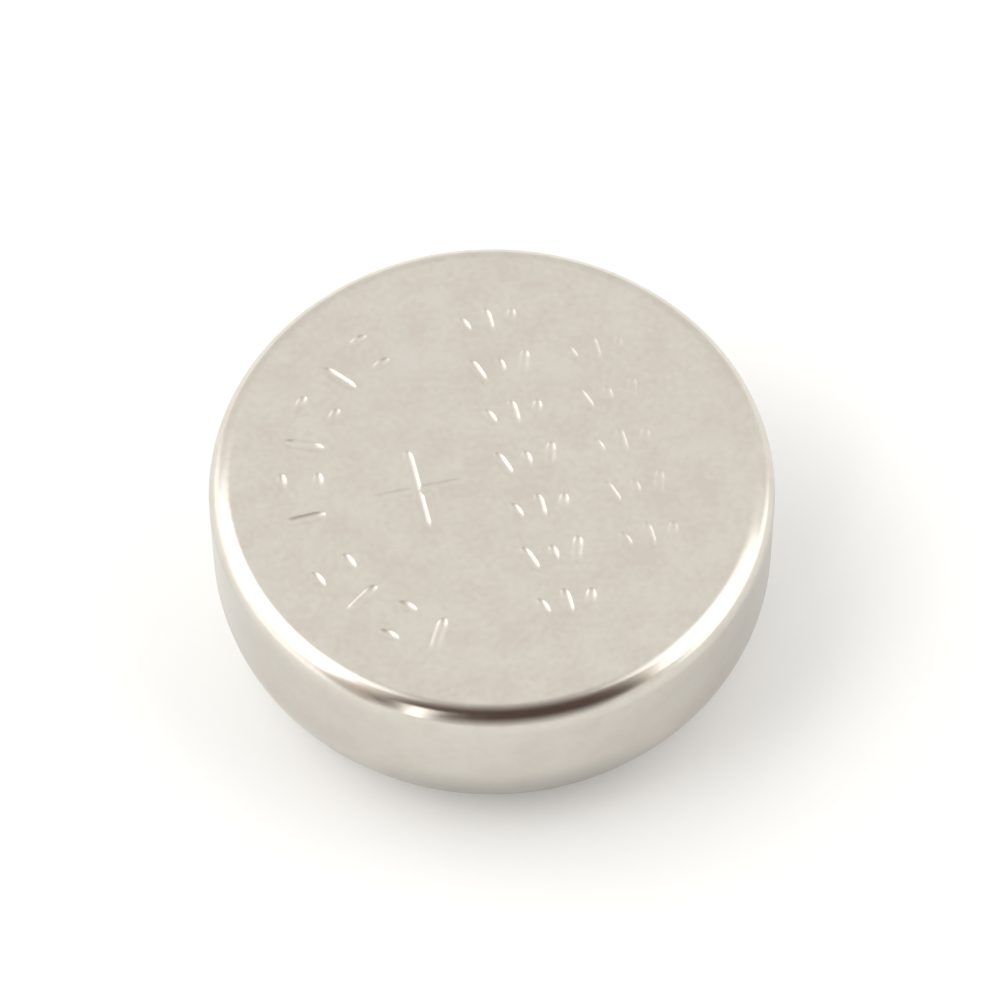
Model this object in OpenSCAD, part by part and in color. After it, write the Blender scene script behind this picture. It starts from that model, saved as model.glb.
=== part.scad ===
// Button cell, 6.8 mm across and 2.6 mm high, standing on its negative cap with the positive face up.
// Every turned piece is a half-section, with the radius along X and the height along Y, spun about the axis.

/* [Cell] */
// Diameter over the can
cell_d = 6.8; // [6.6:0.1:7.9]
// Height from the negative cap's face to the positive face
cell_h = 2.6; // [2.6:0.05:3.6]

/* [Can] */
// Thickness of the can's nickel-plated steel
can_t = 0.18; // [0.14:0.01:0.2]
// Outer radius of the corner round the positive face
corner_r = 0.28; // [0.22:0.02:0.4]
// Outer radius of the crimp that rolls the can's mouth in
crimp_r = 1.1; // [1.05:0.01:1.15]
// How far round the crimp goes, in degrees from the straight wall
crimp_sweep = 55; // [50:1:58]
// Height at which the straight wall ends and the crimp begins
crimp_z = 1.15; // [1.05:0.05:1.15]

/* [Negative cap] */
// Thickness of the cap's sheet
cap_t = 0.15; // [0.12:0.01:0.16]
// Inside radius of the cap's bends
bend_r = 0.07; // [0.05:0.01:0.09]
// Height of the shoulder that holds the cap in the can
shoulder_z = 0.58; // [0.54:0.02:0.64]
// Clear gap inside the folded-back edge of the skirt
fold_gap = 0.04; // [0.03:0.01:0.06]
// How far the crimp bends the folded leaf's end in, in degrees
leaf_curl = 18; // [8:1:19]

/* [Gasket] */
// Thickness of the gasket's wall
gasket_t = 0.16; // [0.14:0.01:0.18]
// Thickness of the gasket's foot, between the cap's skirt and the separator
foot_t = 0.12; // [0.1:0.01:0.15]

/* [Filling] */
// Thickness of the cathode pellet
pellet_t = 0.82; // [0.7:0.02:0.86]
// Thickness of the barrier film
film_t = 0.1; // [0.06:0.01:0.12]
// Thickness of the absorbent pad
pad_t = 0.25; // [0.1:0.05:0.25]

/* [Stamped marks] */
// Width of a stamped stroke at the face
stroke_w = 0.12; // [0.08:0.01:0.14]
// Depth of the plus sign, the arc and the main row
stroke_depth = 0.014; // [0.01:0.002:0.02]
// Depth of the worn second row
worn_depth = 0.008; // [0.006:0.002:0.012]
// Turn of all the marks about the cell's axis
marks_turn = 13; // [0:1:359]
// Length of each bar of the plus sign
plus_len = 1.17; // [0.8:0.01:1.4]
// Distance of the plus sign from the cell's axis
plus_out = 0.92; // [0.8:0.01:1]
// Distance of the main row from the cell's axis
row_out = 0.46; // [0.4:0.01:0.6]
// Distance of the worn row from the cell's axis
worn_out = 1.63; // [1.5:0.01:1.8]
// Step from one group of strokes to the next in a row
row_pitch = 0.68; // [0.6:0.01:0.7]
// Length of a short stroke
dash_len = 0.4; // [0.3:0.01:0.44]
// Step between the strokes of one group
dash_pitch = 0.29; // [0.25:0.01:0.32]
// Radius of the arc of marks
arc_r = 2.3; // [2.1:0.01:2.4]
// Step from one mark of the arc to the next, in degrees
arc_pitch = 13; // [11:0.5:14]

/* [Hidden] */
$fn = 96;

slack = 1;                                   // overshoot of a cutting shape past what it cuts
cell_r = cell_d / 2;

// Inside of the can
can_in_r = cell_r - can_t;
can_in_top = cell_h - can_t;
crimp_axis_r = cell_r - crimp_r;             // centre of the crimp's arc, at the height crimp_z
lip_z = crimp_z - (crimp_r - can_t) * sin(crimp_sweep);

// The filling, from the can's flat down
pellet_z = can_in_top - pellet_t;
film_z = pellet_z - film_t;
pad_z = film_z - pad_t;

// Folded skirt of the cap, inside the gasket's wall and under its foot
bend_out_r = bend_r + cap_t;
fold_out_r = cap_t + fold_gap / 2;
skirt_r = can_in_r - gasket_t;
skirt_top = film_z - foot_t;
fold_axis_r = skirt_r - fold_out_r;
fold_axis_z = skirt_top - fold_out_r;
leaf_r = fold_axis_r - fold_gap / 2;         // outside of the skirt's inner leaf
skirt_in_r = leaf_r - cap_t;
foot_grip = 0.08;                            // how far the foot reaches down inside the fold

// Outer leaf, bent in by the crimp round the same centre, and the terminal's wall below the shoulder
seat_r = crimp_r - can_t - gasket_t;
leaf_end_z = crimp_z - (seat_r - cap_t) * sin(leaf_curl);
cap_r = leaf_r - bend_out_r - bend_r;

// Layout of the marks
row_count = 7;
row_top = 2.16;                              // first group of the main row, from the plus sign's line
worn_count = 5;
worn_top = 1.47;
dash_fan = 18;                               // lean of the outer strokes of a group, in degrees
short_len = 0.7 * dash_len;
arc_start = 117;                             // first mark of the arc
arc_counts = [6, 4];                         // marks before and after the arc's gap
arc_gap = 7;                                 // extra turn at the gap, in degrees
tick_len = 0.52;
pair_out = 0.22;                             // each cross stroke of a pair, from the arc's line

// Waste left at a square corner when it is rounded, with the corner at the origin and the round up and right.
module corner_waste(r) {
    difference() {
        square(r);
        translate([r, r]) circle(r);
    }
}

// Solid half-section of the can, taken in by the given thickness.
module can_outline(inset) {
    r = cell_r - inset;
    low = crimp_z - crimp_r + inset;
    high = cell_h - inset;
    difference() {
        translate([0, low]) square([r, high - low]);
        translate([r, high]) rotate(180) corner_waste(corner_r - inset);
        translate([r, low]) rotate(90) corner_waste(crimp_r - inset);
    }
}

// Everything past the cut edge of the can's lip, in to the axis.
module mouth() {
    far = crimp_r + slack;
    translate([crimp_axis_r, crimp_z]) rotate(-crimp_sweep) translate([0, -far]) square(far);
    translate([0, -slack]) square([crimp_axis_r, crimp_z + slack]);
}

// Solid half-section of the cap: terminal, shoulder and inner leaf, taken in by the given thickness.
module cap_outline(inset, top) {
    r = cap_r - inset;
    step_r = leaf_r - inset;
    step_z = shoulder_z + inset;
    difference() {
        union() {
            translate([0, inset]) square([r, top - inset]);
            translate([0, step_z]) square([step_r, top - step_z]);
            translate([r, step_z]) rotate(-90) corner_waste(bend_r + inset);
        }
        translate([r, inset]) rotate(90) corner_waste(bend_out_r - inset);
        translate([step_r, step_z]) rotate(90) corner_waste(bend_out_r - inset);
    }
}

// The skirt's folded edge and its outer leaf, straight down to the crimp and bent in with it.
module folded_leaf() {
    difference() {
        translate([fold_axis_r, fold_axis_z]) circle(fold_out_r);
        translate([fold_axis_r, fold_axis_z]) circle(fold_gap / 2);
        square([skirt_r, fold_axis_z]);
    }
    translate([skirt_r - cap_t, crimp_z]) square([cap_t, fold_axis_z - crimp_z]);
    translate([crimp_axis_r, crimp_z]) difference() {
        circle(seat_r);
        circle(seat_r - cap_t);
        translate([-seat_r, 0]) square([2 * seat_r, seat_r]);
        rotate(-leaf_curl) translate([-2 * seat_r, -2 * seat_r]) square([4 * seat_r, 2 * seat_r]);
    }
}

// What the gasket can't reach inside the skirt: the cap itself, its fold's gap, and the well above it.
module inside_gasket() {
    cap_outline(0, fold_axis_z);
    folded_leaf();
    translate([leaf_r, leaf_end_z]) square([fold_gap, fold_axis_z - leaf_end_z]);
    translate([fold_axis_r, fold_axis_z]) circle(fold_gap / 2);
    translate([0, fold_axis_z]) square([skirt_in_r, film_z - fold_axis_z]);
    translate([0, fold_axis_z]) square([fold_axis_r, skirt_top - foot_grip - fold_axis_z]);
}

// A round-bottomed stroke pressed into the positive face, lying along Y about its own middle.
module stroke(length, depth) {
    r = (pow(stroke_w / 2, 2) + pow(depth, 2)) / (2 * depth);
    straight = length - stroke_w;
    translate([0, 0, cell_h + r - depth]) {
        rotate([90, 0, 0]) cylinder(h = straight, r = r, center = true);
        for (side = [-1, 1]) translate([0, side * straight / 2, 0]) sphere(r);
    }
}

module plus_sign() {
    translate([-plus_out, 0, 0])
        for (turn = [0, 90]) rotate(turn) stroke(plus_len, stroke_depth);
}

// Groups of three strokes down a line, long and short by turns.
module row(out, top, count, depth) {
    for (i = [0 : count - 1], k = [-1 : 1])
        translate([out + k * dash_pitch, top - i * row_pitch, 0])
            rotate(-k * dash_fan) stroke((i + k) % 2 == 0 ? dash_len : short_len, depth);
}

// Long radial ticks, with a pair of short cross strokes between them.
module arc() {
    for (word = [0, 1], i = [0 : arc_counts[word] - 1]) {
        step = word * arc_counts[0] + i;
        rotate(arc_start + step * arc_pitch + word * arc_gap) {
            if (step % 2 == 1) translate([arc_r, 0, 0]) rotate(90) stroke(tick_len, stroke_depth);
            else for (side = [-1, 1])
                translate([arc_r + side * pair_out, 0, 0]) stroke(short_len, stroke_depth);
        }
    }
}

module marks() {
    rotate(marks_turn) {
        plus_sign();
        row(row_out, row_top, row_count, stroke_depth);
        row(worn_out, worn_top, worn_count, worn_depth);
        arc();
    }
}

// Drawn cup whose flat is the positive terminal, with its mouth crimped in over the gasket.
module positive_can() {
    color([0.81, 0.78, 0.73])
        difference() {
            rotate_extrude() difference() {
                can_outline(0);
                can_outline(can_t);
                mouth();
            }
            marks();
        }
}

// Nylon seal round the cap's skirt: foot, wall, and the free edge that shows in the can's mouth.
module gasket() {
    color([0.9, 0.89, 0.84])
        rotate_extrude() difference() {
            intersection() {
                can_outline(can_t);
                translate([0, lip_z]) square([cell_r, film_z - lip_z]);
            }
            inside_gasket();
        }
}

// Stepped cup whose flat is the negative terminal, with its skirt folded back on itself.
module negative_cap() {
    color([0.78, 0.76, 0.72])
        rotate_extrude() {
            difference() {
                cap_outline(0, fold_axis_z);
                cap_outline(cap_t, fold_axis_z + slack);
            }
            folded_leaf();
        }
}

// Pressed powder tablet that fills the bottom of the can.
module cathode_pellet() {
    color([0.16, 0.15, 0.15])
        rotate_extrude() intersection() {
            can_outline(can_t);
            translate([0, pellet_z]) square([cell_r, pellet_t + slack]);
        }
}

// Laminated barrier disc on the pellet, clamped at its edge by the gasket's foot.
module separator_film() {
    color([0.85, 0.82, 0.7]) translate([0, 0, film_z]) cylinder(h = film_t, r = can_in_r);
}

// Absorbent nonwoven disc between the film and the gel.
module separator_pad() {
    color([0.95, 0.95, 0.93]) translate([0, 0, pad_z]) cylinder(h = pad_t, r = skirt_in_r);
}

// Zinc powder in gelled electrolyte, filling the cap up to the pad.
module anode_gel() {
    color([0.5, 0.51, 0.53]) rotate_extrude() cap_outline(cap_t, pad_z);
}

positive_can();
gasket();
negative_cap();
cathode_pellet();
separator_film();
separator_pad();
anode_gel();
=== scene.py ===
import math
import bmesh
import bpy
from mathutils import Matrix, Vector


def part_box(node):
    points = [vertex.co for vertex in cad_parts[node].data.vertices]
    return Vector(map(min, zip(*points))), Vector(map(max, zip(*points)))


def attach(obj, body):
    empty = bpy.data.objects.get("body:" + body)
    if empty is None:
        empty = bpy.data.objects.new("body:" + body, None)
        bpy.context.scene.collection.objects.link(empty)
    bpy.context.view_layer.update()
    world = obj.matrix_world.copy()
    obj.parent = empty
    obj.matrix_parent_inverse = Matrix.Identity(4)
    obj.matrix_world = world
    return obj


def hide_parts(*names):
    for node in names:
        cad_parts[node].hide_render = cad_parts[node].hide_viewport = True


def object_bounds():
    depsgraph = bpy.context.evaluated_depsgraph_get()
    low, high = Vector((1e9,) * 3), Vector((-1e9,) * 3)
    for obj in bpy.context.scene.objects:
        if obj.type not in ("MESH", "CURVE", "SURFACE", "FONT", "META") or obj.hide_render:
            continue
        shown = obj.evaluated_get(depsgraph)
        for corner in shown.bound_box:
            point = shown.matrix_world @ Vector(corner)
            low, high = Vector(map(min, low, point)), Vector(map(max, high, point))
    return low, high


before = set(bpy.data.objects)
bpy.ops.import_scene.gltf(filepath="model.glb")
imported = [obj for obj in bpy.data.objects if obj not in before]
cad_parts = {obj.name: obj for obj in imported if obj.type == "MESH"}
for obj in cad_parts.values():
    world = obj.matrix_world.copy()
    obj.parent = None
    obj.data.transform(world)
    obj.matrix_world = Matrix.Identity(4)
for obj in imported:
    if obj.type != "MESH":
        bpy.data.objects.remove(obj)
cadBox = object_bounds()
mm = 0.001
cellRadius = cadBox[1].x
cellHeight = cadBox[1].z
turnSteps = 256
print("frame loaded:", round(cellRadius * 2 / mm, 3), "mm across,", round(cellHeight / mm, 3), "mm high")


cameraSettings = {
    "distance": 68 * mm,        # close-up lens, so the far rim is a little smaller
    "elevation": 58.45,
    "roll": 0.4,
    "aimRight": 0.098 * mm,     # aim point from the middle of the cell, across the view
    "aimUp": 0.384 * mm,
    "lens": 201.2,
}


def makeCamera(settings):
    data = bpy.data.cameras.new("camera")
    data.lens = settings["lens"]
    data.sensor_width = 36
    data.clip_start = 1 * mm
    data.clip_end = 10
    camera = bpy.data.objects.new("camera", data)
    bpy.context.scene.collection.objects.link(camera)
    lift = math.radians(settings["elevation"])
    look = Vector((0, math.cos(lift), -math.sin(lift)))
    up = Vector((0, math.sin(lift), math.cos(lift)))
    aim = Vector((settings["aimRight"], 0, cellHeight / 2)) + up * settings["aimUp"]
    camera.location = aim - look * settings["distance"]
    turn = look.to_track_quat("-Z", "Y").to_matrix().to_4x4()
    camera.rotation_euler = (turn @ Matrix.Rotation(math.radians(-settings["roll"]), 4, "Z")).to_euler()
    bpy.context.scene.camera = camera


makeCamera(cameraSettings)
bpy.context.scene.view_settings.view_transform = "Standard"
print("camera placed")


# Small helpers: colours, nodes, and turned meshes.

def toLinear(hexColor):
    channels = [int(hexColor[i:i + 2], 16) / 255 for i in (1, 3, 5)]
    linear = [c / 12.92 if c <= 0.04045 else ((c + 0.055) / 1.055) ** 2.4 for c in channels]
    return (*linear, 1.0)


def perMm(size):
    # texture scale that makes one feature of a pattern this many millimetres wide
    return 1 / (size * mm)


def wayTo(azimuth, elevation):
    # unit vector from the cell towards a place in the room, angles in degrees
    turn = math.radians(azimuth)
    lift = math.radians(elevation)
    return Vector((math.cos(turn) * math.cos(lift), math.sin(turn) * math.cos(lift), math.sin(lift)))


def addNode(tree, kind, settings=None, links=None):
    # settings: the node's own options, or an input's value; links: an input, and the output that feeds it
    node = tree.nodes.new(kind)
    for key, value in (settings or {}).items():
        if isinstance(key, str) and hasattr(node, key):
            setattr(node, key, value)
        else:
            node.inputs[key].default_value = value
    for key, source in (links or {}).items():
        tree.links.new(source, node.inputs[key])
    return node


def newMaterial(name):
    material = bpy.data.materials.new(name)
    material.use_nodes = True
    material.node_tree.nodes.clear()
    return material, material.node_tree


def addPiece(name, mesh, material, node):
    piece = bpy.data.objects.new(name, mesh)
    bpy.context.scene.collection.objects.link(piece)
    mesh.materials.append(material)
    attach(piece, "root")
    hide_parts(node)
    print(name, "built:", len(mesh.polygons), "faces")
    return piece


def arcPoint(centre, radius, angle):
    # a point of the half-section, its angle in degrees from the outward direction
    turn = math.radians(angle)
    return (centre[0] + radius * math.cos(turn), centre[1] + radius * math.sin(turn))


def arcPoints(centre, radius, start, end, steps):
    return [arcPoint(centre, radius, start + (end - start) * i / steps) for i in range(steps + 1)]


def addRing(bm, radius, height):
    ring = []
    for i in range(turnSteps):
        angle = 2 * math.pi * i / turnSteps
        ring.append(bm.verts.new((radius * math.cos(angle), radius * math.sin(angle), height)))
    return ring


def joinRings(bm, upper, lower):
    for i in range(turnSteps):
        j = (i + 1) % turnSteps
        bm.faces.new([upper[i], lower[i], lower[j], upper[j]])


def addTurned(bm, outline, closed):
    # spins a half-section; an open one is closed by flat discs at both its ends
    rings = [addRing(bm, radius, height) for radius, height in outline]
    for upper, lower in zip(rings, rings[1:]):
        joinRings(bm, upper, lower)
    if closed:
        joinRings(bm, rings[-1], rings[0])
    else:
        bm.faces.new(rings[0])
        bm.faces.new(rings[-1])
    return rings


def finishMesh(name, bm):
    bmesh.ops.recalc_face_normals(bm, faces=bm.faces)
    mesh = bpy.data.meshes.new(name)
    bm.to_mesh(mesh)
    bm.free()
    for polygon in mesh.polygons:
        polygon.use_smooth = True
    return mesh


# The can: a drawn cup, its flat stamped, its mouth crimped in over the gasket.

canSettings = {
    "sheet": 0.18 * mm,
    "cornerRadius": 0.28 * mm,
    "crimpRadius": 1.1 * mm,
    "crimpStart": 1.15 * mm,
    "crimpSweep": 55,
    "edge": 0.03 * mm,          # rounding of the lip's cut edge
}
markSettings = {
    "turn": 13,                 # all the marks, about the axis
    "strokeWidth": 0.14 * mm,
    "depth": 0.012 * mm,
    "wornDepth": 0.009 * mm,    # of the row nearest the rim
    "crossShare": 0.55,         # how deep the plus's worn cross bar is beside its upright
    "endRun": 0.14 * mm,        # length over which a stroke's end runs out
    "plusLength": 1.17 * mm,
    "plusOut": 0.92 * mm,
    "rowOut": 0.46 * mm,
    "rowTop": 2.16 * mm,
    "rowCount": 7,
    "wornOut": 1.63 * mm,
    "wornTop": 1.47 * mm,
    "wornCount": 5,
    "rowPitch": 0.68 * mm,
    "dashLength": 0.4 * mm,
    "dashPitch": 0.29 * mm,
    "dashFan": 18,              # lean of a group's outer dashes
    "shortShare": 0.7,          # length of a short dash beside a long one
    "arcRadius": 2.3 * mm,
    "arcPitch": 13,
    "arcStart": 117,
    "arcCounts": (6, 4),        # steps of the arc's two groups
    "arcGap": 7,
    "tickLength": 0.52 * mm,
    "pairOut": 0.22 * mm,
    "cell": 0.0125 * mm,        # mesh step across a stroke
    "margin": 0.025 * mm,       # flat metal meshed round each stroke
}


def strokeList(marks):
    # every stamped stroke as (x, y, turn, length along its own Y, length along its own X, depth)
    strokes = [(-marks["plusOut"], 0, 0, marks["plusLength"], marks["plusLength"], marks["depth"])]

    def addRow(out, top, count, depth):
        for i in range(count):
            for k in (-1, 0, 1):
                length = marks["dashLength"] * (1 if (i + k) % 2 == 0 else marks["shortShare"])
                spot = (out + k * marks["dashPitch"], top - i * marks["rowPitch"])
                strokes.append((*spot, -k * marks["dashFan"], length, 0, depth))

    addRow(marks["rowOut"], marks["rowTop"], marks["rowCount"], marks["depth"])
    addRow(marks["wornOut"], marks["wornTop"], marks["wornCount"], marks["wornDepth"])
    short = marks["dashLength"] * marks["shortShare"]
    for step in range(sum(marks["arcCounts"])):
        group = 0 if step < marks["arcCounts"][0] else 1
        angle = marks["arcStart"] + step * marks["arcPitch"] + group * marks["arcGap"]
        along = Vector((math.cos(math.radians(angle)), math.sin(math.radians(angle))))
        if step % 2 == 1:
            spot = along * marks["arcRadius"]
            strokes.append((spot.x, spot.y, angle + 90, marks["tickLength"], 0, marks["depth"]))
            continue
        for side in (-1, 1):
            spot = along * (marks["arcRadius"] + side * marks["pairOut"])
            strokes.append((spot.x, spot.y, angle, short, 0, marks["depth"]))
    return strokes


def grooveShare(share):
    # round-bottomed groove: full depth on the centre line, nothing at the edge
    share = min(1.0, share)
    return 1 - share * share


def barShare(along, across, length, marks):
    # how far out of the groove a point is, 0 on the centre line and 1 at the edge; the ends run out gently
    run = marks["endRun"]
    return math.hypot(across / (marks["strokeWidth"] / 2), max(0, abs(along) - (length / 2 - run)) / run)


def addStroke(bm, stroke, marks):
    x, y, turn, lengthY, lengthX, depth = stroke
    cell = marks["cell"]
    across = math.ceil((marks["strokeWidth"] / 2 + marks["margin"]) / cell)
    spanY = math.ceil((lengthY / 2 + marks["margin"]) / cell)
    spanX = math.ceil((lengthX / 2 + marks["margin"]) / cell) if lengthX else across
    place = Matrix.Translation((x, y, 0)) @ Matrix.Rotation(math.radians(turn), 4, "Z")
    place = Matrix.Rotation(math.radians(marks["turn"]), 4, "Z") @ place
    points = {}

    def inBar(i, j):
        return abs(i + 0.5) < across or abs(j + 0.5) < across

    def point(i, j):
        if (i, j) not in points:
            u, v = i * cell, j * cell
            sink = depth * grooveShare(barShare(v, u, lengthY, marks))
            if lengthX:
                sink = max(sink, depth * marks["crossShare"] * grooveShare(barShare(u, v, lengthX, marks)))
            points[(i, j)] = bm.verts.new(place @ Vector((u, v, cellHeight - sink)))
        return points[(i, j)]

    for i in range(-spanX, spanX):
        for j in range(-spanY, spanY):
            if inBar(i, j):
                bm.faces.new([point(i, j), point(i + 1, j), point(i + 1, j + 1), point(i, j + 1)])


def canMesh(can, marks):
    bm = bmesh.new()
    for stroke in strokeList(marks):
        addStroke(bm, stroke, marks)
    holes = [edge for edge in bm.edges if len(edge.link_faces) == 1]

    sheet = can["sheet"]
    corner = can["cornerRadius"]
    edge = can["edge"]
    flat = cellRadius - corner
    crimp = can["crimpRadius"]
    centre = (cellRadius - crimp, can["crimpStart"])
    sweep = can["crimpSweep"]
    inner = crimp - sheet
    outline = [(flat - 2 * edge, cellHeight), (flat - edge, cellHeight)]
    outline += arcPoints((flat, cellHeight - corner), corner, 90, 0, 24)
    wallSteps = 8
    wallTop = cellHeight - corner
    wallHeight = wallTop - can["crimpStart"]
    outline += [(cellRadius, wallTop - wallHeight * i / wallSteps) for i in range(1, wallSteps)]
    outline += arcPoints(centre, crimp, 0, -sweep + math.degrees(edge / crimp), 28)
    outline += [arcPoint(centre, crimp - edge, -sweep), arcPoint(centre, inner + edge, -sweep)]
    outline += arcPoints(centre, inner, -sweep + math.degrees(edge / inner), 0, 20)
    bend = corner - sheet
    outline += arcPoints((flat, cellHeight - corner), bend, 0, 90, 8)
    outline += [(flat - edge, cellHeight - sheet)]
    rings = [addRing(bm, radius, height) for radius, height in outline]
    for upper, lower in zip(rings, rings[1:]):
        joinRings(bm, upper, lower)
    bm.faces.new(rings[-1])
    rim = [bm.edges.get((rings[0][i], rings[0][(i + 1) % turnSteps])) for i in range(turnSteps)]
    bmesh.ops.triangle_fill(bm, use_beauty=True, use_dissolve=False, edges=rim + holes, normal=(0, 0, 1))
    return finishMesh("positiveCan", bm)


plateSettings = {
    "flatTint": ("#E1DBD1", "#DCD3C8"),         # light and dark of the clouds on the flat
    "wallTint": ("#D7D3CB", "#D2CCC4"),
    "tintDepth": (0.06 * mm, 0.2 * mm),         # below the flat, where its tint gives way to the wall's
    "flatRoughness": 0.19,
    "strokeRoughness": 0.25,
    "wallRoughness": 0.2,
    "strokeDepth": (0.001 * mm, 0.006 * mm),    # below the flat, where a stroke turns dull
    "rimSpan": (-0.02 * mm, 0.03 * mm),         # about the flat's rim, where the wall's roughness sets in
    # painted shade on the crimp's lower front, for the reflected contact shadow: its tint, the side it
    # faces, how far out and how low it sits
    "dullTint": "#B9B6AF",
    "paintedShadeAzimuth": 274,
    "paintedShadeShare": (0.83, 0.98),                  # of the radius, towards that azimuth
    "paintedShadeHeight": (1.45 * mm, 0.9 * mm),
}


def addPatina(tree, place, light, dark):
    # cloudy warm and cool tints that handling and the plating bath leave on nickel, with fine specks in them
    clouds = addNode(tree, "ShaderNodeTexNoise", {"Scale": perMm(0.45), "Detail": 3.0, "Roughness": 0.6},
                     {"Vector": place})
    specks = addNode(tree, "ShaderNodeTexNoise", {"Scale": perMm(0.09), "Detail": 2.0}, {"Vector": place})
    both = addNode(tree, "ShaderNodeMath", {"operation": "MULTIPLY_ADD", 1: 0.5},
                   {0: specks.outputs["Fac"], 2: clouds.outputs["Fac"]})
    spread = addNode(tree, "ShaderNodeMapRange", {"From Min": 0.58, "From Max": 0.92},
                     {"Value": both.outputs[0]})
    tint = addNode(tree, "ShaderNodeMix", {"data_type": "RGBA", 6: toLinear(light), 7: toLinear(dark)},
                   {0: spread.outputs["Result"]})
    return tint.outputs[2]


def addPaintedShade(tree, place, height, plate):
    # painted shade: how much of the darker tint lies on the crimp's lower front, standing in for the
    # reflected contact shadow under the cell
    facing = addNode(tree, "ShaderNodeVectorMath",
                     {"operation": "DOT_PRODUCT", 1: wayTo(plate["paintedShadeAzimuth"], 0)}, {0: place})
    nearest, full = plate["paintedShadeShare"]
    side = addNode(tree, "ShaderNodeMapRange",
                   {"interpolation_type": "SMOOTHSTEP", "From Min": cellRadius * nearest,
                    "From Max": cellRadius * full}, {"Value": facing.outputs["Value"]})
    top, bottom = plate["paintedShadeHeight"]
    low = addNode(tree, "ShaderNodeMapRange",
                  {"interpolation_type": "SMOOTHSTEP", "From Min": top, "From Max": bottom},
                  {"Value": height})
    both = addNode(tree, "ShaderNodeMath", {"operation": "MULTIPLY"},
                   {0: side.outputs["Result"], 1: low.outputs["Result"]})
    return both.outputs[0]


def nickelPlate(can, plate):
    # bright nickel plate on drawn steel: a satin mirror, warm on the stamped flat, cooler where the die
    # drew the wall, and duller in the strokes
    material, tree = newMaterial("nickelPlateOnDrawnSteel")
    place = addNode(tree, "ShaderNodeTexCoord").outputs["Object"]
    height = addNode(tree, "ShaderNodeSeparateXYZ", {}, {0: place}).outputs["Z"]
    grain = addNode(tree, "ShaderNodeTexNoise", {"Scale": perMm(0.05), "Detail": 3.0}, {"Vector": place})
    bump = addNode(tree, "ShaderNodeBump", {"Strength": 0.2, "Distance": 0.0004 * mm},
                   {"Height": grain.outputs["Fac"]})
    outward = addNode(tree, "ShaderNodeVectorMath", {"operation": "MULTIPLY", 1: (1, 1, 0)}, {0: place})
    reach = addNode(tree, "ShaderNodeVectorMath", {"operation": "LENGTH"}, {0: outward.outputs[0]})
    rim = cellRadius - can["cornerRadius"]
    onWall = addNode(tree, "ShaderNodeMapRange",
                     {"From Min": rim + plate["rimSpan"][0], "From Max": rim + plate["rimSpan"][1]},
                     {"Value": reach.outputs["Value"]})
    stamped = addNode(tree, "ShaderNodeMapRange",
                      {"From Min": cellHeight - plate["strokeDepth"][0],
                       "From Max": cellHeight - plate["strokeDepth"][1],
                       "To Min": plate["flatRoughness"], "To Max": plate["strokeRoughness"]},
                      {"Value": height})
    roughness = addNode(tree, "ShaderNodeMix", {3: plate["wallRoughness"]},
                        {0: onWall.outputs["Result"], 2: stamped.outputs["Result"]})
    below = addNode(tree, "ShaderNodeMapRange",
                    {"From Min": cellHeight - plate["tintDepth"][0],
                     "From Max": cellHeight - plate["tintDepth"][1]}, {"Value": height})
    tint = addNode(tree, "ShaderNodeMix", {"data_type": "RGBA"},
                   {0: below.outputs["Result"], 6: addPatina(tree, place, *plate["flatTint"]),
                    7: addPatina(tree, place, *plate["wallTint"])})
    # painted shade: the crimp's lower front is tinted darker, standing in for the reflected contact shadow
    # under the cell
    shadedTint = addNode(tree, "ShaderNodeMix", {"data_type": "RGBA", 7: toLinear(plate["dullTint"])},
                     {0: addPaintedShade(tree, place, height, plate), 6: tint.outputs[2]})
    shader = addNode(tree, "ShaderNodeBsdfPrincipled", {"Metallic": 1.0},
                     {"Base Color": shadedTint.outputs[2], "Roughness": roughness.outputs[0],
                      "Normal": bump.outputs["Normal"]})
    addNode(tree, "ShaderNodeOutputMaterial", {}, {"Surface": shader.outputs[0]})
    return material


addPiece("stampedCan", canMesh(canSettings, markSettings), nickelPlate(canSettings, plateSettings),
         "positive_can")


# The negative cap: a stepped cup whose skirt is folded back on itself, and the cell's foot.

capSettings = {
    "sheet": 0.15 * mm,
    "bend": 0.07 * mm,          # inside radius of the bends
    "shoulder": 0.58 * mm,
    "foldGap": 0.04 * mm,
    "leafCurl": 18,
}


def skirtPlaces(can, cap):
    # where the skirt's two leaves, its fold and the crimp's centre lie, worked out from the frame
    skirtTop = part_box("negative_cap")[1].z
    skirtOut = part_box("negative_cap")[1].x
    foldRadius = cap["sheet"] + cap["foldGap"] / 2
    fold = (skirtOut - foldRadius, skirtTop - foldRadius)
    leaf = fold[0] - cap["foldGap"] / 2
    crimpCentre = (cellRadius - can["crimpRadius"], can["crimpStart"])
    bendOut = cap["bend"] + cap["sheet"]
    return {"foldRadius": foldRadius, "fold": fold, "leaf": leaf, "crimpCentre": crimpCentre,
            "bendOut": bendOut, "wall": leaf - bendOut - cap["bend"], "seat": skirtOut - crimpCentre[0]}


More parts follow.
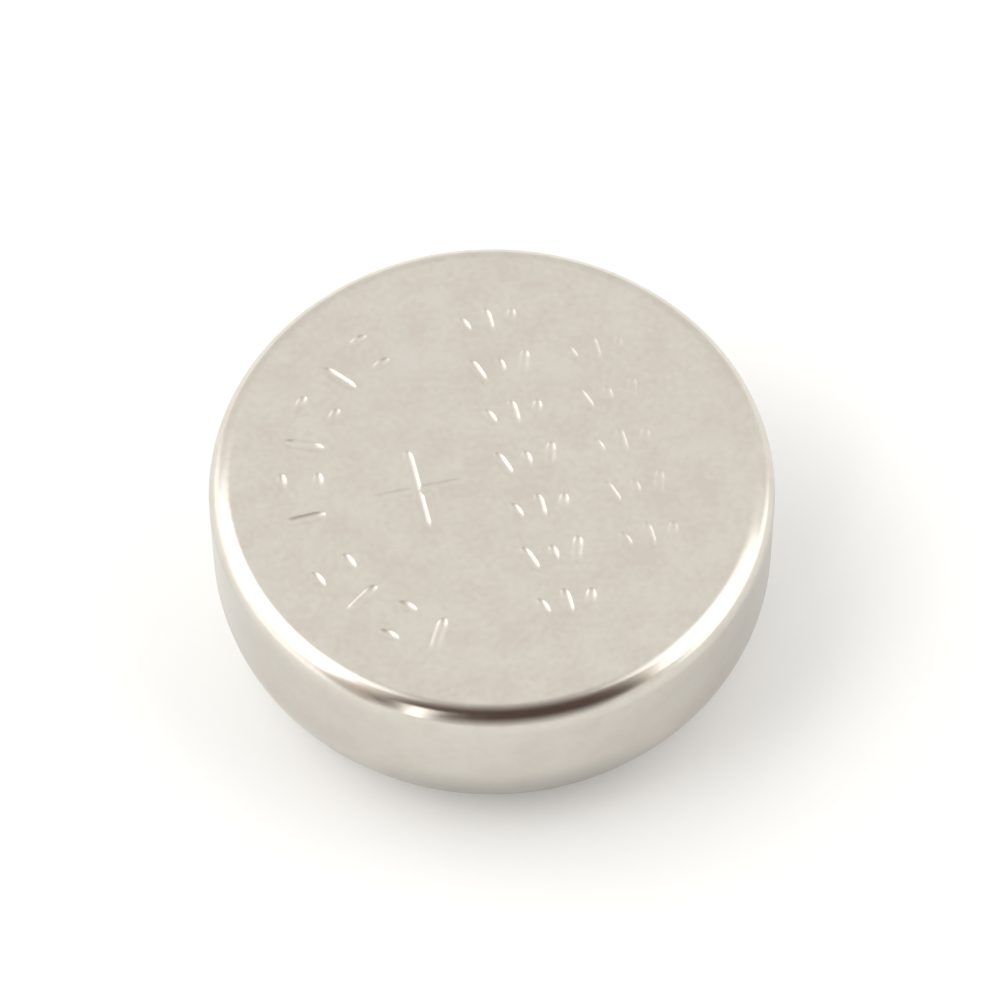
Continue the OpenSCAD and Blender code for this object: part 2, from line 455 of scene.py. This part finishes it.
def capMesh(can, cap):
    at = skirtPlaces(can, cap)
    sheet, bend, bendOut, shoulder = cap["sheet"], cap["bend"], at["bendOut"], cap["shoulder"]
    wall, leaf = at["wall"], at["leaf"]
    outline = [(wall - bendOut - bend, 0)]
    outline += arcPoints((wall - bendOut, bendOut), bendOut, -90, 0, 16)
    outline += arcPoints((wall + bend, shoulder - bend), bend, 180, 90, 8)
    outline += arcPoints((leaf - bendOut, shoulder + bendOut), bendOut, -90, 0, 16)
    outline += arcPoints(at["fold"], cap["foldGap"] / 2, 180, 0, 8)
    outline += arcPoints(at["crimpCentre"], at["seat"] - sheet, 0, -cap["leafCurl"], 6)
    outline += arcPoints(at["crimpCentre"], at["seat"], -cap["leafCurl"], 0, 6)
    outline += arcPoints(at["fold"], at["foldRadius"], 0, 180, 20)
    outline += arcPoints((leaf - bendOut, shoulder + bendOut), bend, 0, -90, 8)
    outline += arcPoints((wall + bend, shoulder - bend), bendOut, 90, 180, 16)
    outline += arcPoints((wall - bendOut, bendOut), bend, 0, -90, 8)
    outline += [(wall - bendOut - bend, sheet)]
    bm = bmesh.new()
    addTurned(bm, outline, False)
    return finishMesh("negativeCap", bm)


def nickelClad():
    # nickel-clad steel strip, deep drawn: a little duller and cooler than the can, with faint draw lines
    material, tree = newMaterial("nickelCladSteelStrip")
    place = addNode(tree, "ShaderNodeTexCoord").outputs["Object"]
    squash = addNode(tree, "ShaderNodeMapping", {"Scale": (perMm(0.03), perMm(0.03), perMm(0.5))},
                     {"Vector": place})
    lines = addNode(tree, "ShaderNodeTexNoise", {"Scale": 1.0, "Detail": 2.0},
                    {"Vector": squash.outputs["Vector"]})
    bump = addNode(tree, "ShaderNodeBump", {"Strength": 0.25, "Distance": 0.0006 * mm},
                   {"Height": lines.outputs["Fac"]})
    shader = addNode(tree, "ShaderNodeBsdfPrincipled", {"Metallic": 1.0, "Roughness": 0.36},
                     {"Base Color": addPatina(tree, place, "#CFCAC0", "#C8C1B5"),
                      "Normal": bump.outputs["Normal"]})
    addNode(tree, "ShaderNodeOutputMaterial", {}, {"Surface": shader.outputs[0]})
    return material


addPiece("steppedCap", capMesh(canSettings, capSettings), nickelClad(), "negative_cap")


# The gasket: a nylon ring round the skirt, which shows as a pale line in the can's mouth.

gasketSettings = {
    "grip": 0.08 * mm,          # how far the foot reaches down inside the fold
    "edge": 0.015 * mm,         # rounding of the free edge
}


def gasketMesh(can, cap, gasket):
    at = skirtPlaces(can, cap)
    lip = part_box("gasket")[0].z
    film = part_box("separator_film")[0].z
    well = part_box("separator_pad")[1].x
    edge = gasket["edge"]
    inside = can["crimpRadius"] - can["sheet"]
    footEnd = at["fold"][1] + at["foldRadius"] - gasket["grip"]
    gripAngle = math.degrees(math.asin((footEnd - at["fold"][1]) / at["foldRadius"]))
    bend, bendOut, shoulder = cap["bend"], at["bendOut"], cap["shoulder"]
    mouth = at["crimpCentre"][0] + math.sqrt(inside ** 2 - (at["crimpCentre"][1] - lip) ** 2)
    outline = [(at["wall"], lip + edge), (at["wall"] + edge, lip), (mouth - edge, lip)]
    outline += arcPoints(at["crimpCentre"], inside, -can["crimpSweep"], 0, 20)
    outline += [(cellRadius - can["sheet"], film), (well, film), (well, footEnd)]
    outline += arcPoints(at["fold"], at["foldRadius"], 180 - gripAngle, 0, 20)
    outline += arcPoints(at["crimpCentre"], at["seat"], 0, -cap["leafCurl"], 6)
    outline += [arcPoint(at["crimpCentre"], at["seat"] - cap["sheet"], -cap["leafCurl"])]
    outline += arcPoints((at["leaf"] - bendOut, shoulder + bendOut), bendOut, 0, -90, 16)
    outline += arcPoints((at["wall"] + bend, shoulder - bend), bend, 90, 180, 8)
    bm = bmesh.new()
    addTurned(bm, outline, True)
    return finishMesh("gasketRing", bm)


def mouldedNylon():
    # moulded nylon 6,6 without pigment: milky, faintly yellow, light sinks a little way in
    material, tree = newMaterial("mouldedNaturalNylon")
    place = addNode(tree, "ShaderNodeTexCoord").outputs["Object"]
    cloud = addNode(tree, "ShaderNodeTexNoise", {"Scale": perMm(0.4), "Detail": 2.0}, {"Vector": place})
    tint = addNode(tree, "ShaderNodeMix",
                   {"data_type": "RGBA", 6: toLinear("#E8E5DA"), 7: toLinear("#DEDACC")},
                   {0: cloud.outputs["Fac"]})
    shader = addNode(tree, "ShaderNodeBsdfPrincipled",
                     {"Roughness": 0.45, "IOR": 1.53,
                      "Subsurface Weight": 0.2, "Subsurface Scale": 0.1 * mm},
                     {"Base Color": tint.outputs[2]})
    addNode(tree, "ShaderNodeOutputMaterial", {}, {"Surface": shader.outputs[0]})
    return material


addPiece("gasketRing", gasketMesh(canSettings, capSettings, gasketSettings), mouldedNylon(),
         "gasket")


# What the sealed cell holds: the CAD solids stay, each with the finish of its stuff.

fillingSettings = {
    # node: (material, light and dark colour, roughness, grain in mm, height of the grain in mm)
    "cathode_pellet": ("pressedOxidePowder", "#35322F", "#26231F", 0.8, 0.05, 0.008),
    "separator_film": ("laminatedCellophane", "#DDD4B4", "#D2C79F", 0.25, 0.5, 0.001),
    "separator_pad": ("nonwovenFibrePad", "#F4F3EF", "#E2E0D8", 0.9, 0.03, 0.01),
    "anode_gel": ("zincPowderInGel", "#8E9195", "#5F6266", 0.35, 0.12, 0.02),
}


def grainyStuff(name, light, dark, roughness, grainSize, grainHeight):
    # powder, fibre or film: its grain carries both the tint and the relief
    material, tree = newMaterial(name)
    place = addNode(tree, "ShaderNodeTexCoord").outputs["Object"]
    grain = addNode(tree, "ShaderNodeTexNoise", {"Scale": perMm(grainSize), "Detail": 3.0},
                    {"Vector": place})
    tint = addNode(tree, "ShaderNodeMix", {"data_type": "RGBA", 6: toLinear(dark), 7: toLinear(light)},
                   {0: grain.outputs["Fac"]})
    bump = addNode(tree, "ShaderNodeBump", {"Strength": 0.6, "Distance": grainHeight * mm},
                   {"Height": grain.outputs["Fac"]})
    shader = addNode(tree, "ShaderNodeBsdfPrincipled", {"Roughness": roughness},
                     {"Base Color": tint.outputs[2], "Normal": bump.outputs["Normal"]})
    addNode(tree, "ShaderNodeOutputMaterial", {}, {"Surface": shader.outputs[0]})
    return material


for node, (name, *look) in fillingSettings.items():
    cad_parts[node].material_slots[0].material = grainyStuff(name, *look)
print("filling finished")


# The studio: white paper under two overhead diffusers, a dark flag with grey wings round the lens,
# a lamp tube beside it, and a soft fill lamp for the paper.

studioSettings = {
    "floorSize": 600 * mm,
    "floorColor": "#F7F7F5",
    "floorLift": 0.1,           # how much brighter the lens sees the paper
    "diffuserHeight": 100 * mm,
    "roomLight": 0.9,
    # how the room's light changes along an axis, from where to where, and by how much
    "glows": {
        "leftWindow": ("X", -0.7, -0.86, 0.6),
        "rightWindow": ("X", 0.82, 0.95, 0.8),
        "farSide": ("Y", 0.6, 0.85, -0.07),
    },
    "fillPower": 0.015,
    "fillSize": 60 * mm,
    "fillAzimuth": 215,
    "fillElevation": 55,
    "fillDistance": 90 * mm,
}
# Hems of each diffuser in heights from the point over the cell, and how far in each one fades.
diffuserSettings = {
    "leftDiffuser": {"turn": -19, "light": 2.1, "left": -3.4, "right": -0.15, "front": -1.6, "back": 0.5,
                     "fadeLeft": 0.02, "fadeRight": 0.16, "fadeFront": 0.5, "fadeBack": 0.2,
                     "notch": [(-0.15, 0), (-0.43, 0.4)], "notchBack": -0.5},
    "rightDiffuser": {"turn": 8, "light": 1.85, "left": 0.22, "right": 3.4, "front": -1.6, "back": 0.44,
                      "fadeLeft": 0.18, "fadeRight": 0.02, "fadeFront": 0.5, "fadeBack": 0.2},
}
# The cards hang square to one line of sight, and their outlines are in distances along it.
cardSettings = {
    "azimuth": 270,
    "elevation": 50,
    "distance": 80 * mm,
    "flagColor": "#55453F",     # at the flag's middle
    "paleColor": "#F0F0EF",     # at its head and foot, which fade into the room
    "fadeHead": (0.35, 1.7),    # where the cloth starts to pale, and where it has paled
    "fadeFoot": (-0.22, -1.2),
    "flagOutline": [(0.3, 1.9), (0.39, 1.15), (0.46, 0.62), (0.57, 0.32), (0.76, 0.05), (0.91, -0.22),
                    (0.96, -0.6), (0.9, -1.5), (-0.75, -1.5), (-0.78, -0.5), (-0.68, -0.15), (-0.49, 0.14),
                    (-0.35, 0.34), (-0.28, 0.6), (-0.3, 1.2), (-0.28, 1.9)],
    "wingColor": "#C6BFB8",
    "wingCloser": 1.05,         # distance beside the flag's
    "sleeveOutline": [(-0.1, 1.9), (-0.34, 1.9), (-0.42, 1.2), (-0.47, 0.6), (-0.56, 0.37), (-0.85, 0.14),
                      (-1.2, -0.12), (-1.45, -0.5), (-1.2, -0.9), (-0.2, -0.6)],
    "shoulderOutline": [(0.2, 1.9), (0.42, 1.9), (0.55, 1.15), (0.62, 0.62), (0.75, 0.32), (0.94, 0.05),
                        (1.1, -0.22), (1.14, -0.6), (0.4, -0.6)],
    "tubeCloser": 0.85,
    "tubeOutline": [(-0.34, 0.1), (-0.51, -0.45), (-0.7, -1), (-0.58, -1), (-0.39, -0.45), (-0.24, 0.1)],
    "tubeLight": 3,
}


def addFlat(name, corners, material):
    bm = bmesh.new()
    bm.faces.new([bm.verts.new(corner) for corner in corners])
    mesh = bpy.data.meshes.new(name)
    bm.to_mesh(mesh)
    bm.free()
    mesh.materials.append(material)
    plane = bpy.data.objects.new(name, mesh)
    bpy.context.scene.collection.objects.link(plane)
    return plane


def cardAxes(cards):
    # towards the cards from the cell, and along each card to the right and upward
    sight = wayTo(cards["azimuth"], cards["elevation"])
    right = Vector((0, 0, 1)).cross(sight).normalized()
    return sight, right, sight.cross(right)


def hangCard(name, cards, outline, closer, material):
    sight, right, up = cardAxes(cards)
    distance = cards["distance"] * closer
    card = addFlat(name, [(sight + right * x + up * y) * distance for x, y in outline], material)
    card.visible_camera = False


def litCloth(name, hems, height, room):
    # white diffuser cloth lit from behind, fading to the room's level at its hems
    material, tree = newMaterial(name)
    coords = addNode(tree, "ShaderNodeTexCoord")
    place = addNode(tree, "ShaderNodeSeparateXYZ", {}, {0: coords.outputs["Object"]})
    fade = None
    for axis, hem, run, inward in (("X", "left", "fadeLeft", 1), ("X", "right", "fadeRight", -1),
                                   ("Y", "front", "fadeFront", 1), ("Y", "back", "fadeBack", -1)):
        start = hems[hem] * height
        ramp = addNode(tree, "ShaderNodeMapRange",
                       {"interpolation_type": "SMOOTHSTEP", "From Min": start,
                        "From Max": start + inward * hems[run] * height}, {"Value": place.outputs[axis]})
        fade = ramp if fade is None else addNode(tree, "ShaderNodeMath", {"operation": "MULTIPLY"},
                                                 {0: fade.outputs[0], 1: ramp.outputs[0]})
    level = addNode(tree, "ShaderNodeMath", {"operation": "MULTIPLY_ADD", 1: hems["light"] - room, 2: room},
                    {0: fade.outputs[0]})
    light = addNode(tree, "ShaderNodeEmission", {}, {"Strength": level.outputs[0]})
    addNode(tree, "ShaderNodeOutputMaterial", {}, {"Surface": light.outputs[0]})
    return material


def hangDiffuser(name, hems, height, room):
    left, right, front, back = (hems[hem] for hem in ("left", "right", "front", "back"))
    outline = [(left, front), (right, front), *hems.get("notch", []), (hems.get("notchBack", right), back),
               (left, back)]
    diffuser = addFlat(name, [(x * height, y * height, 0) for x, y in outline],
                       litCloth(name + "Cloth", hems, height, room))
    diffuser.location.z = height
    diffuser.rotation_euler.z = math.radians(hems["turn"])
    diffuser.visible_camera = False


def plainCard(name, color):
    material, tree = newMaterial(name)
    shader = addNode(tree, "ShaderNodeBsdfDiffuse", {"Color": toLinear(color)})
    addNode(tree, "ShaderNodeOutputMaterial", {}, {"Surface": shader.outputs[0]})
    return material


def flagCloth(cards):
    # dark brown cloth round the lens, its head and foot fading into the pale room
    material, tree = newMaterial("darkFlagCloth")
    coords = addNode(tree, "ShaderNodeTexCoord")
    up = cardAxes(cards)[2]
    height = addNode(tree, "ShaderNodeVectorMath", {"operation": "DOT_PRODUCT", 1: up},
                     {0: coords.outputs["Object"]})
    distance = cards["distance"]
    ends = []
    for start, end in (cards["fadeHead"], cards["fadeFoot"]):
        ends.append(addNode(tree, "ShaderNodeMapRange",
                            {"From Min": start * distance, "From Max": end * distance},
                            {"Value": height.outputs["Value"]}))
    pale = addNode(tree, "ShaderNodeMath", {"operation": "MAXIMUM"},
                   {0: ends[0].outputs["Result"], 1: ends[1].outputs["Result"]})
    tint = addNode(tree, "ShaderNodeMix",
                   {"data_type": "RGBA", 6: toLinear(cards["flagColor"]), 7: toLinear(cards["paleColor"])},
                   {0: pale.outputs[0]})
    light = addNode(tree, "ShaderNodeEmission", {}, {"Color": tint.outputs[2]})
    addNode(tree, "ShaderNodeOutputMaterial", {}, {"Surface": light.outputs[0]})
    return material


def lampTube(strength):
    material, tree = newMaterial("lampTube")
    light = addNode(tree, "ShaderNodeEmission", {"Strength": strength})
    addNode(tree, "ShaderNodeOutputMaterial", {}, {"Surface": light.outputs[0]})
    return material


def whitePaper(studio):
    # white sweep paper that keeps the cell's shadow; the lens sees it a little lifted, as exposed for white
    material, tree = newMaterial("whiteSweepPaper")
    path = addNode(tree, "ShaderNodeLightPath")
    paper = addNode(tree, "ShaderNodeBsdfDiffuse", {"Color": toLinear(studio["floorColor"])})
    lift = addNode(tree, "ShaderNodeEmission",
                   {"Color": toLinear("#FFFFFE"), "Strength": studio["floorLift"]})
    both = addNode(tree, "ShaderNodeAddShader", {}, {0: paper.outputs[0], 1: lift.outputs[0]})
    mix = addNode(tree, "ShaderNodeMixShader", {},
                  {0: path.outputs["Is Camera Ray"], 1: paper.outputs[0], 2: both.outputs[0]})
    addNode(tree, "ShaderNodeOutputMaterial", {}, {"Surface": mix.outputs[0]})
    return material


def makeWorld(studio):
    # a pale room, brighter low on the left and right, where its windows are, and dimmer on the far side
    world = bpy.data.worlds.new("studio")
    bpy.context.scene.world = world
    world.use_nodes = True
    tree = world.node_tree
    tree.nodes.clear()
    coords = addNode(tree, "ShaderNodeTexCoord")
    way = addNode(tree, "ShaderNodeSeparateXYZ", {}, {0: coords.outputs["Generated"]})
    level = addNode(tree, "ShaderNodeValue")
    level.outputs[0].default_value = studio["roomLight"]
    for axis, start, end, change in studio["glows"].values():
        glow = addNode(tree, "ShaderNodeMapRange",
                       {"interpolation_type": "SMOOTHSTEP", "From Min": start, "From Max": end,
                        "To Max": change}, {"Value": way.outputs[axis]})
        level = addNode(tree, "ShaderNodeMath", {}, {0: glow.outputs["Result"], 1: level.outputs[0]})
    room = addNode(tree, "ShaderNodeBackground", {"Color": toLinear("#FFFFFE")},
                   {"Strength": level.outputs[0]})
    addNode(tree, "ShaderNodeOutputWorld", {}, {"Surface": room.outputs[0]})


def addFill(studio):
    # broad soft lamp at the front left, which lifts the paper and stays out of the metal's reflections
    lamp = bpy.data.lights.new("fillLamp", "AREA")
    lamp.shape = "DISK"
    lamp.size = studio["fillSize"]
    lamp.energy = studio["fillPower"]
    way = wayTo(studio["fillAzimuth"], studio["fillElevation"])
    fill = bpy.data.objects.new("fillLamp", lamp)
    fill.location = way * studio["fillDistance"]
    fill.rotation_euler = way.to_track_quat("Z", "Y").to_euler()
    fill.visible_glossy = False
    bpy.context.scene.collection.objects.link(fill)


half = studioSettings["floorSize"] / 2
addFlat("floor", [(-half, -half, 0), (half, -half, 0), (half, half, 0), (-half, half, 0)],
        whitePaper(studioSettings))
for name, hems in diffuserSettings.items():
    hangDiffuser(name, hems, studioSettings["diffuserHeight"], studioSettings["roomLight"])
greyCloth = plainCard("greyCloth", cardSettings["wingColor"])
hangCard("lensFlag", cardSettings, cardSettings["flagOutline"], 1, flagCloth(cardSettings))
for wing in ("sleeve", "shoulder"):
    hangCard(wing, cardSettings, cardSettings[wing + "Outline"], cardSettings["wingCloser"], greyCloth)
hangCard("lampTube", cardSettings, cardSettings["tubeOutline"], cardSettings["tubeCloser"],
         lampTube(cardSettings["tubeLight"]))
makeWorld(studioSettings)
addFill(studioSettings)
print("studio lit")
